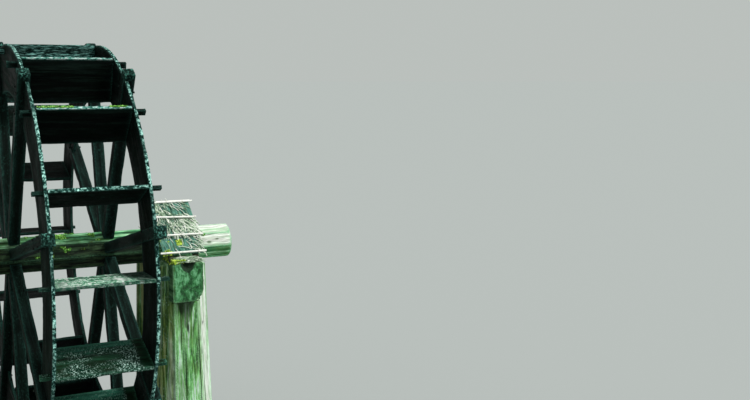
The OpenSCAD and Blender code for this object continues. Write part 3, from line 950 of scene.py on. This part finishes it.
def make_post(side, sign, end, front):
    dice = np.random.default_rng(700 + 5 * sign + front)
    cracks = crack_rows(((-19.0, 1.15, 1.70, 0.007), (-6.0, 0.1, 1.35, 0.004), (35.7, -0.6, 1.75, 0.024),
                         (52, 0.3, 1.3, 0.006)), 270)
    cracks += [(math.radians(dice.uniform(0, 190)), dice.uniform(-0.4, 0.6), dice.uniform(1.1, 2.3),
                dice.uniform(0.01, 0.024)) for _ in range(4)]
    angles = log_angles(76, [c[0] for c in cracks], math.radians(1.1))
    rows = []
    for z in stops_along(0, POST_TOP, 0.024):
        here, r = post_outline(angles, z)
        r = r - cracked(angles, cracks, z)
        rows.append(np.stack([r * np.cos(here), r * np.sin(here), np.full(len(r), z)], -1))
    points, faces, n = skin(rows, (4, 6))
    slot_half = (BEAM_HI.x - BEAM_LO.x) / 2 + FORK_PLAY
    fall = 0.04 * np.clip((np.abs(points[:, 0]) - slot_half) / (POST_W / 2 - slot_half), 0, 1)
    points[:, 2] -= fall * np.clip(1 - (POST_TOP - points[:, 2]) / 0.2, 0, 1)
    if front > 0:
        points = points * (-1, -1, 1)
    points = points + (SUPPORT_X, front * POST_Y, 0)
    gap = crack_shade(points, angles, cracks, n, 2)
    timber = Timber()
    # The post's cracks, its painted shadow under the beam and its drip stain darken it through one value.
    timber.add(points, faces, points, mirror=sign < 0, gap=np.maximum(gap, post_shadow_and_drip(points, front)))
    along, heart = dice.uniform(2, 9), (dice.uniform(-0.03, 0.03), dice.uniform(-0.03, 0.03))
    heart = (0.0 if (sign, front) == (1, -1) else along, *heart)

    def wood_at(co):
        return (co - (sign * SUPPORT_X, front * POST_Y, 0))[:, [2, 0, 1]] + heart

    low_x, high_x = sorted((sign * (BEAM_LO.x - FORK_PLAY), sign * (BEAM_HI.x + FORK_PLAY)))
    fork = ((low_x, -2, BEAM_LO.z), (high_x, 2, POST_TOP + 1), wood_at)

    def moss(co, normal, worn):
        low = ease(-co[:, 2], -0.9, 0.1) * patches(co, 4, 5, -0.2, 0.8)
        inner = ease(-sign * normal[:, 0], 0.3, 0.8) * patches(co, (9, 9, 4), 15, -0.1, 0.9)
        return 0.4 * low + 0.35 * inner + 0.4 * ease(normal[:, 2], 0.4, 0.9)

    # Painted shade on the inner face, turned from the light, with olive stains, and random patches elsewhere.
    def tone_and_shading(co, normal, worn):
        inner = ease(-sign * normal[:, 0], 0.35, 0.9)
        return np.clip(inner * 0.95 + 0.3 * patches(co, (22, 22, 0.9), 9, 0.0, 0.9), 0, 1)

    # Painted sunlight: the faces turned outward are paler, brightest in a strip near the outer corner.
    def sun(co, normal, worn):
        across = (sign * co[:, 0] - SUPPORT_X) / (POST_W / 2 + POST_FLARE * (1 - co[:, 2] / POST_TOP))
        lit_strip = hump(across - 0.73 - 0.04 * rough_noise(co * (0, 0, 3), 2), 0, 0.13)
        return ease(sign * normal[:, 0], 0.25, 0.65) * np.clip(0.25 + lit_strip, 0, 1)

    worn_piece(f"{side}_{end}_post_log", timber, POST_LOG, "supports", [f"{side}_{end}_post"],
               0.005, 0.008, (1.1, 12, 12), moss, tone_and_shading, sun, fork, seed=720 + 3 * sign + front)


def make_beams():
    cracks = crack_rows((
        (20, -0.8, -0.1, 0.014), (205, -0.9, 0.0, 0.014), (318, -0.8, -0.2, 0.01), (20, 0.1, 0.8, 0.014),
        (150, 0.2, 0.9, 0.012), (265, -0.75, -0.1, 0.012)))
    half_w, half_h = (BEAM_HI.x - BEAM_LO.x) / 2, (BEAM_HI.z - BEAM_LO.z) / 2
    faces = squared(half_w, half_h, (half_w + half_h - BEAM_CORNER) / math.sqrt(2), 3)
    for run, lift in ((WANE_W * 0.75, WANE_H / 2), (WANE_W / 4, WANE_H / 2)):
        direction = math.atan2(-run, lift)
        away = (half_w - WANE_W / 4) * math.cos(direction) + (WANE_H / 2 - half_h) * math.sin(direction)
        faces.append((direction, away))
    corners = [(a * (half_w - x), half_h - z) for a in (-1, 1)
               for x, z in ((BEAM_CORNER, 0), (0, BEAM_CORNER))]
    corners += [(BEAM_CORNER - half_w, -half_h), (-half_w, BEAM_CORNER - half_h), (half_w - WANE_W, -half_h),
                (half_w - WANE_W / 4, WANE_H / 2 - half_h), (half_w, WANE_H - half_h)]
    angles = snapped(log_angles(84, sorted({c[0] for c in cracks}), math.radians(1.2)), corners)
    reach = hull_reach(angles, faces)
    rows = []
    for y in stops_along(BEAM_LO.y, BEAM_HI.y, 0.018):
        r = reach - cracked(angles, cracks, y)
        z = r * np.sin(angles)
        if abs(y) < NECK_R:
            seat = AXLE_Z - math.sqrt((NECK_R + 0.001) ** 2 - y * y) - (BEAM_LO.z + half_h)
            z = np.where((z > 0) & (seat < half_h), z * seat / half_h, z)
        rows.append(np.stack([r * np.cos(angles), np.full(len(r), y), z], -1))
    points, shell, n = skin(rows, (10, 10))

    knot = np.array((0.0, BEAM_LO.y - KNOT_R + KNOT_DEEP, half_h - 0.004))
    off = points - knot
    near = np.hypot(off[:, 0], off[:, 2])
    hollow = (near < KNOT_R) & (np.abs(off[:, 1]) < np.sqrt(np.maximum(KNOT_R**2 - near**2, 0)))
    points[hollow, 1] = knot[1] + np.sqrt(KNOT_R**2 - near[hollow] ** 2)
    # Painted shade in the cracks and inside the knot hollow, and darker rotten wood round the hollow.
    gap = crack_shade(points, angles, cracks, n, 1) * (np.abs(points[:, 1]) < BEAM_HI.y - 0.004)
    rotten = np.hypot(off[:, 0], off[:, 2] * 0.75) + 0.012 * rough_noise(points * 30, 3)
    rotten = 0.75 * ease(-rotten, -0.090, -0.066) * (points[:, 1] < BEAM_LO.y + 0.05)
    gap = np.maximum.reduce([gap, rotten, hollow * ease(-near, -KNOT_R, -0.048)])

    for side, sign in SIDES:
        wood = points[:, [1, 0, 2]] + (4 + sign, 0.015, -0.02)
        timber = Timber()
        timber.add(points + (SUPPORT_X, 0, BEAM_LO.z + half_h), shell, wood, mirror=sign < 0, gap=gap)

        def moss(co, normal, worn):
            x = -sign * co[:, 0]
            top = ease(normal[:, 2], 0.35, 0.85) * ease(np.abs(co[:, 1]), 0.22, 0.26)
            inner = 0.35 + 0.65 * ease(x, -SUPPORT_X, -SUPPORT_X + 0.12)
            strip = ease(x, -BEAM_LO.x - 0.055, -BEAM_LO.x - 0.01) * ease(np.abs(normal[:, 1]), 0.6, 0.9)
            return top * inner * (0.5 + 0.5 * patches(co, 8, 31, -0.6, 0.3)) + 0.1 * worn + 0.4 * strip

        def tone_and_shading(co, normal, worn):
            return ease(np.abs(normal[:, 1]), 0.6, 0.9) * (1 - 0.75 * worn)

        worn_piece(f"{side}_beam_log", timber, BEAM_LOG, "supports", [f"{side}_bearing_beam"],
                   0.004, 0.009, (1.4, 14, 14), moss, tone_and_shading, seed=800 + sign)


# The roofs over the bearings

def slope_spot(down, out):
    """A point of the front slope, as (y, z): down from the ridge, and out from the rafters' upper face."""
    return (-down * np.cos(SLOPE) - out * np.sin(SLOPE),
            RIDGE_Z - BARK_T / math.cos(SLOPE) - down * np.sin(SLOPE) + out * np.cos(SLOPE))


def make_rafters():
    foot_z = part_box("right_roof_rafters")[0].z
    top_z = RIDGE_Z - BARK_T / math.cos(SLOPE)
    loop = plank_loop(RAFTER, RAFTER, 0.014, 0.009)
    out = loop[:, 1] - RAFTER / 2
    start = -out * math.tan(SLOPE)
    end = (top_z + out * math.cos(SLOPE) - foot_z) / math.sin(SLOPE)
    for side, sign in SIDES:
        timber = Timber()
        for n, (shift, back) in enumerate((a, b) for a in (-RAFTER_X, RAFTER_X) for b in (False, True)):
            rows = []
            for t in stops_along(0, 1, 1 / 26):
                y, z = slope_spot(start + (end - start) * t, out)
                rows.append(np.stack([SUPPORT_X + shift + loop[:, 0], y, z], -1))
            points, faces, _ = skin(rows, (1, 2))
            x, y, z = points.T
            wood = np.stack([z * 1.4, x - SUPPORT_X - shift, y + z], -1) + (n * 3 + sign, 0.01, 0)
            if back:
                points[:, 1] *= -1
            timber.add(points, faces, wood, mirror=sign < 0)
        worn_piece(f"{side}_rafter_poles", timber, RAFTER_POLE, "supports", [f"{side}_roof_rafters"],
                   0.002, 0.003, seed=850 + sign)


def bark_strip(timber, left, right, course, back, sign, dice):
    """One strip of bark: fibrous, a little hollow across, with a torn foot."""
    wide = right - left
    thick = dice.uniform(0.007, 0.0095)
    loop = plank_loop(wide, thick, 0.011, 0.002)
    across = loop[:, 0]
    top = course * COURSE_LEN
    head, foot = max(0.0, top - BARK_TUCK), (course + 1) * COURSE_LEN - dice.uniform(0.0, 0.010)
    tear = np.stack([across * 60, across * 0 + course, across * 0 + foot * 9], -1)
    torn = np.abs(0.010 * rough_noise(tear, sign + 5))
    rows = []
    for t in stops_along(0, 1, 1 / 20):
        down = head + (foot - head - torn * (t > 0.9)) * t
        lift = BARK_LAP * np.clip((down - top) / COURSE_LEN, 0, 1)
        hollow = 0.0022 * np.cos(across / wide * 2 * math.pi) + 0.0012 * np.sin(down * 37 + left * 90)
        out = lift + BARK_T - 0.0035 - thick / 2 + loop[:, 1] + hollow
        y, z = slope_spot(down, np.maximum(out, 0.0005))
        rows.append(np.stack([SUPPORT_X + (left + right) / 2 + across, np.minimum(y, -0.0006), z], -1))
    points, faces, _ = skin(rows, (0, 1))
    wood = points[:, [2, 0, 1]] * (-1.4, 1.0, 0.2) + (dice.uniform(-9, 9), 0, 0)
    if back:
        points[:, 1] *= -1
    timber.add(points, faces, wood, mirror=sign < 0)


def make_bark():
    reach = (BARK_HI.x - BARK_LO.x) / 2
    for side, sign in SIDES:
        for end, back in (("front", False), ("back", True)):
            dice = np.random.default_rng(900 + 7 * sign + back)
            timber = Timber()
            for course in range(COURSES):
                cuts = np.cumsum([0] + list(dice.uniform(0.8, 1.3, 4)))
                cuts = -reach + cuts / cuts[-1] * 2 * reach
                for k in range(4):
                    bark_strip(timber, cuts[k] + STRIP_GAP, cuts[k + 1] - STRIP_GAP, course, back, sign, dice)

            def moss(co, normal, worn):
                low = ease(-co[:, 2], -2.36, -2.25)
                inner = ease(-sign * co[:, 0], -1.02, -0.93)
                tuft = np.hypot(co[:, 0] * sign - TUFT_X, (co[:, 2] - TUFT_Z) * 1.2)
                tuft = ease(-tuft - 0.012 * rough_noise(co * 60, 7), -0.040, -0.030)
                thick = (0.65 * low * inner + 0.2 * low) * patches(co, 14, 12, -0.4, 0.5)
                return np.maximum(thick, tuft * (sign > 0) * (co[:, 1] < 0))

            worn_piece(f"{side}_{end}_bark_sheets", timber, BARK, "supports", [f"{side}_roof_{end}_bark"],
                       0.0012, 0.002, (6, 70, 30), moss, seed=930 + sign)


# Growth: canes, moss, straw and pegs, by trees of geometry nodes

def new_growth(name, **sizes):
    """Starts a tree with named sizes. Returns the tree and what comes in, by name."""
    tree = bpy.data.node_groups.new(name, "GeometryNodeTree")
    sockets = tree.interface
    sockets.new_socket("Geometry", in_out="INPUT", socket_type="NodeSocketGeometry")
    for label, value in sizes.items():
        sockets.new_socket(label, in_out="INPUT", socket_type="NodeSocketFloat").default_value = value
    sockets.new_socket("Finish", in_out="INPUT", socket_type="NodeSocketMaterial")
    sockets.new_socket("Geometry", in_out="OUTPUT", socket_type="NodeSocketGeometry")
    TREES.append(tree)
    return tree, add_node("NodeGroupInput", out=None)


def close_growth(shape, given):
    """Ends a tree: plain geometry in its finish."""
    whole = add_node("GeometryNodeRealizeInstances", {"Geometry": shape})
    dressed = add_node("GeometryNodeSetMaterial", {"Geometry": whole, "Material": given["Finish"]})
    add_node("NodeGroupOutput", {0: dressed}, None)


def grown(name, mesh, tree, finish, **sizes):
    """Lets a tree of geometry nodes work on a mesh, and returns the result as a plain piece."""
    bed = placed(name + "_bed", mesh)
    growth = bed.modifiers.new("growth", "NODES")
    growth.node_group = tree
    entries = {item.name: item.identifier for item in tree.interface.items_tree if item.in_out == "INPUT"}
    growth[entries["Finish"]] = finish
    for label, value in sizes.items():
        growth[entries[label]] = value
    made = settled(bed)
    made.name = name
    bpy.data.objects.remove(bed)
    return placed(name, made)


def dice_node(low, high, seed):
    """A random number, or a random vector, for each point."""
    vector = not isinstance(low, float)
    kind, keys = ("FLOAT_VECTOR", (0, 1)) if vector else ("FLOAT", (2, 3))
    return add_node("FunctionNodeRandomValue", {keys[0]: low, keys[1]: high, "Seed": seed},
                    0 if vector else 1, data_type=kind)


def known_value(name, kind="FLOAT"):
    return add_node("GeometryNodeInputNamedAttribute", {"Name": name}, data_type=kind)


def kept_value(shape, label, value, domain="POINT"):
    return add_node("GeometryNodeStoreNamedAttribute", {"Geometry": shape, "Name": label, "Value": value},
                    data_type="FLOAT", domain=domain)


def strewn(shape, density, seed):
    """Points strewn over a surface, by name: their places and how they are turned."""
    return add_node("GeometryNodeDistributePointsOnFaces",
                    {"Mesh": shape, "Density": density, "Seed": seed}, None)


def planted(points, shape, rotation, scale):
    return add_node("GeometryNodeInstanceOnPoints", {"Points": points, "Instance": shape,
                                                     "Rotation": rotation, "Scale": scale})


def tube_along(curve, sides, radius, **more):
    """A closed tube along a curve."""
    ring = add_node("GeometryNodeCurvePrimitiveCircle", {"Resolution": sides, "Radius": radius})
    return add_node("GeometryNodeCurveToMesh",
                    {"Curve": curve, "Profile Curve": ring, "Fill Caps": True, **more})


def pushed_about(shape, place, fineness, size):
    """Moves the points of a shape a little, unevenly."""
    push = add_node("ShaderNodeTexNoise", {"Vector": place, "Scale": fineness, "Detail": 1.0}, "Color")
    push = vector_calc("SCALE", vector_calc("SUBTRACT", push, (0.5, 0.5, 0.5)), size)
    return add_node("GeometryNodeSetPosition", {"Geometry": shape, "Offset": push})


def cane_tree():
    """Turns lines into canes: a slight bend, a swelling at each joint and closed ends."""
    tree, given = new_growth("cane", Radius=0.01, Spacing=0.14, Bend=0.002)
    curve = add_node("GeometryNodeMeshToCurve", {"Mesh": given["Geometry"]})
    curve = add_node("GeometryNodeResampleCurve", {"Curve": curve, "Count": 56})
    place = add_node("GeometryNodeInputPosition")
    curve = pushed_about(curve, place, 5.0, given["Bend"] * 2.0)
    height = add_node("ShaderNodeSeparateXYZ", {0: place}, 2)
    along = add_node("GeometryNodeSplineParameter", out="Length") + height * 7.3
    near = calc("ABSOLUTE", calc("FRACT", along / given["Spacing"]) - 0.5)
    curve = kept_value(curve, "joint", rise(near, 0.0, 0.05, 1.0, 0.0))
    swell = rise(near, 0.0, 0.06, 1.0, 0.9)
    close_growth(tube_along(curve, 10, 1.0, Scale=given["Radius"] * swell), given)
    return tree


def make_canes():
    tree = cane_tree()
    lo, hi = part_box("right_roof_battens")
    for side, sign in SIDES:
        dice = np.random.default_rng(960 + sign)
        ends = []
        for back in (-1, 1):
            for k, (lower, skew) in enumerate(((0, 0.001), (0.008, 0.013), (0.010, 0.006), (0, 0.001))):
                down = k * COURSE_LEN - CANE_RISE if k else 0.006
                lap = BARK_LAP * (1 - CANE_RISE / COURSE_LEN if k else down / COURSE_LEN)
                y, z = slope_spot(down + lower, BARK_T + lap + CANE_R)
                skew = skew + dice.uniform(-0.001, 0.001)
                dy, dz = skew * math.cos(SLOPE), skew * math.sin(SLOPE)
                ends += [(sign * (lo.x + dice.uniform(0, 0.02)), -back * (y + dy), z + dz),
                         (sign * (hi.x - dice.uniform(0, 0.02)), -back * (y - dy), z - dz)]
        mesh = bpy.data.meshes.new("cane_lines")
        mesh.from_pydata(ends, [(k, k + 1) for k in range(0, len(ends), 2)], [])
        canes = grown(f"{side}_batten_canes", mesh, tree, CANE, Radius=CANE_R, Spacing=0.16, Bend=0.0016)
        finished(canes, CANE, "supports", [f"{side}_roof_battens"])


def moss_tree():
    """Grows small round tufts of moss where the bed is mossy."""
    tree, given = new_growth("moss", Tufts=6000.0, Size=0.008)
    points = strewn(given["Geometry"], given["Tufts"] * known_value("moss"), 4)["Points"]
    blob = add_node("GeometryNodeMeshIcoSphere", {"Radius": given["Size"], "Subdivisions": 1})
    blob = add_node("GeometryNodeSetShadeSmooth", {"Geometry": blob, "Shade Smooth": True})
    tufts = planted(points, blob, dice_node((0.0, 0.0, 0.0), (6.28, 6.28, 6.28), 5),
                    dice_node((0.6, 0.6, 0.4), (1.5, 1.5, 1.1), 6))
    close_growth(kept_value(tufts, "shade", dice_node(0.0, 1.0, 7), "INSTANCE"), given)
    return tree


def make_moss():
    tree = moss_tree()
    for body, finish, tufts, slot in (("wheel", WET_MOSS, 16000.0, "axle_log"),
                                      ("supports", MOSS, 8000.0, "beam_log")):
        points, faces, moss = [], [], []
        for bed_points, bed_faces, bed_moss in MOSS_BEDS[body]:
            faces += [[k + len(moss) for k in f] for f in bed_faces]
            points += bed_points.tolist()
            moss += list(bed_moss)
        mesh = bpy.data.meshes.new("moss_bed")
        mesh.from_pydata(points, [], faces)
        note(mesh, "moss", moss)
        piece = grown(f"{body}_moss", mesh, tree, finish, Tufts=tufts, Size=0.0085)
        finished(piece, finish, body)


def straw_tree():
    """Strews dry straws over a bed: they lie flat on it and mostly follow its flow."""
    tree, given = new_growth("straw", Straws=900.0, Stray=0.6)
    points = strewn(given["Geometry"], given["Straws"] * known_value("litter"), 8)
    astray = vector_calc("SCALE", dice_node((-1.0, -1.0, -1.0), (1.0, 1.0, 1.0), 9), given["Stray"])
    aim = vector_calc("ADD", known_value("flow", "FLOAT_VECTOR"), astray)
    turn = add_node("FunctionNodeAlignRotationToVector", {"Rotation": points["Rotation"], "Vector": aim},
                    axis="X", pivot_axis="Z")
    stem = add_node("GeometryNodeCurveQuadraticBezier", {
        "Resolution": 4, "Start": (-0.5, 0.0, 0.0), "Middle": (0.0, 0.012, 0.012), "End": (0.5, 0.0, 0.0)})
    straws = planted(points["Points"], tube_along(stem, 3, 0.0030), turn,
                     dice_node((0.05, 0.7, 0.4), (0.15, 1.6, 1.4), 10))
    close_growth(kept_value(straws, "shade", dice_node(0.0, 1.0, 11), "INSTANCE"), given)
    return tree


# For each course of bark: where its second and third patch of straw start, and how thick the straw
# lies at the corners of its four patches.
LITTER = (
    (0.11, 0.20, (0.5,) * 4, (0.4, 0.5, 0.2, 0.0), (0.0, 0.05, 0.4, 0.0), (0.0, 0.0, 0.1, 0.0)),
    (0.22, 0.32, (0.42,) * 4, (0.42, 0.35, 0.6, 0.9), (1.1, 1.0, 1.6, 1.2), (0.9, 2.0, 2.0, 0.6)),
    (0.22, 0.32, (0.04,) * 4, (0.06, 0.03, 0.03, 0.25), (0.3, 0.02, 0.02, 0.5), (0.9, 0.0, 0.0, 0.7)))
FLOWS = ((0.25, -math.cos(SLOPE), -math.sin(SLOPE)), (0.5, -0.7, -0.7), (0.7, -0.5, -0.6), (0.7, -0.6, -1.0))


def make_litter():
    """Dry straw on the roofs' courses, over their verges and on the beams' ends."""
    points, faces, litter, flow = [], [], [], []

    def bed(corners, thick, way):
        start = len(points)
        flip = np.array((sign, -back, 1))
        points.extend((np.array(corners) * flip).tolist())
        faces.append([start + k for k in ((0, 1, 2, 3) if sign * back < 0 else (3, 2, 1, 0))])
        litter.extend(thick)
        flow.extend([way * flip] * 4)

    for sign, back in ((-1, -1), (-1, 1), (1, -1), (1, 1)):
        for course, (second, third, *cover) in enumerate(LITTER):
            heights = []
            for down in (course * COURSE_LEN + 0.002, (course + 1) * COURSE_LEN - 0.004):
                heights.append(slope_spot(down, BARK_T + BARK_LAP * (down % COURSE_LEN / COURSE_LEN) + 0.002))
            top, foot = heights
            starts = (BARK_LO.x + 0.02, BARK_LO.x + second, BARK_LO.x + third, BARK_HI.x - 0.035)
            ends = (*starts[1:], BARK_HI.x - 0.004)
            for x_lo, x_hi, thick, way in zip(starts, ends, cover, FLOWS):
                bed(((x_lo, *top), (x_lo, *foot), (x_hi, *foot), (x_hi, *top)), thick, way)
        for layer in range(5):
            y_out, y_in = BEAM_LO.y + 0.006 + 0.012 * layer, BEAM_LO.y + 0.15 - 0.006 * layer
            x_in, x_out = BEAM_LO.x + 0.10, BEAM_HI.x - 0.02 - 0.01 * layer
            z = BEAM_HI.z + 0.004 + 0.008 * layer
            bed(((x_in, y_in, z), (x_in, y_out, z), (x_out, y_out, z), (x_out, y_in, z)),
                (0.8, 1.2, 1.5, 1.1), (1.0, 0.1, 0.0))
        cushion = [(sign * (BEAM_LO.x + x), -back * (BEAM_LO.y + y), BEAM_HI.z + z) for z in (0.008, 0.024)
                   for x, y in ((0.012, 0.014), (0.13, 0.014), (0.13, 0.11), (0.012, 0.11))]
        MOSS_BEDS["supports"].append((np.array(cushion), [[0, 1, 2, 3], [4, 5, 6, 7]], np.ones(8)))
    mesh = bpy.data.meshes.new("litter_bed")
    mesh.from_pydata(points, [], faces)
    note(mesh, "litter", litter)
    note(mesh, "flow", np.array(flow))
    straws = grown("straw_litter", mesh, straw_tree(), STRAW, Straws=3600.0, Stray=0.5)
    finished(straws, STRAW, "supports")


def peg_tree():
    """Drives a tapered, roughly round peg along X through each point."""
    tree, given = new_growth("peg", Length=0.12, Radius=0.010)
    peg = add_node("GeometryNodeMeshCone", {
        "Vertices": 8, "Side Segments": 3, "Radius Top": given["Radius"] * 0.85,
        "Radius Bottom": given["Radius"], "Depth": given["Length"]})
    peg = pushed_about(peg, add_node("GeometryNodeInputPosition"), 90.0, 0.006)
    peg = add_node("GeometryNodeTransform", {"Geometry": peg, "Rotation": (0.0, math.pi / 2, 0.0)})
    close_growth(planted(given["Geometry"], peg, dice_node((0.0, 0.0, 0.0), (6.28, 0.0, 0.0), 12),
                         dice_node((0.97, 0.8, 0.8), (1.0, 1.1, 1.1), 13)), given)
    return tree


def make_pegs():
    """Two pegs on each flank of every arm, through the groove that holds a rim board's end."""
    places = []
    for x in (-ARM_OUT - 0.011, ARM_IN - 0.007):
        for k in range(8):
            at = wheel_place(ARM_TURN + ARM_STEP * k)
            for r, side in ((1.64, 1), (1.66, -1), (1.87, -1), (1.89, 1)):
                spot = at @ Vector((0, -r, side * ((ARM_OUT - ARM_IN) / 2 - 0.017)))
                places.append((x, spot.y, spot.z))
    mesh = bpy.data.meshes.new("peg_spots")
    mesh.from_pydata(places, [], [])
    pegs = grown("arm_pegs", mesh, peg_tree(), PEG, Length=PEG_LENGTH, Radius=PEG_R)
    finished(pegs, PEG, "wheel")


# Studio

def make_floor():
    bm = bmesh.new()
    bmesh.ops.create_circle(bm, cap_ends=True, radius=2000, segments=96)
    mesh = bpy.data.meshes.new("studio_floor")
    bm.to_mesh(mesh)
    bm.free()
    material, shader = empty_finish("pale_floor")
    plug(shader, {"Base Color": (0.413, 0.437, 0.437, 1), "Roughness": 1.0, "Specular IOR Level": 0.0})
    mesh.materials.append(material)
    placed("studio_floor", mesh)


def make_studio():
    make_floor()
    world = bpy.data.worlds.new("studio")
    bpy.context.scene.world = world
    world.use_nodes = True
    sky = world.node_tree.nodes["Background"].inputs
    sky[0].default_value = (0.90, 0.96, 0.92, 1)
    sky[1].default_value = 0.55
    light = bpy.data.lights.new("soft_sun", "SUN")
    light.energy, light.angle, light.color = 2.75, math.radians(14), (1.0, 0.99, 0.95)
    sun = placed("soft_sun", light)
    sun.rotation_euler = Vector((0.435, -0.435, 0.788)).to_track_quat("Z", "Y").to_euler()
    view = bpy.data.cameras.new("camera")
    view.lens, view.sensor_width, view.sensor_fit, view.clip_end = 48.28, 36, "HORIZONTAL", 5000
    camera = placed("camera", view)
    camera.location = (-1.766, -9.963, 3.868)
    camera.rotation_euler = (math.radians(90 - 6.832), 0, math.radians(-27.65))
    bpy.context.scene.camera = camera
    bpy.context.scene.view_settings.view_transform = "Standard"


make_floats()
make_rims()
make_arms()
make_axle()
for side, sign in SIDES:
    for end, front in (("front", -1), ("back", 1)):
        make_post(side, sign, end, front)
make_beams()
make_rafters()
make_bark()
make_canes()
make_litter()
make_moss()
make_pegs()
make_studio()
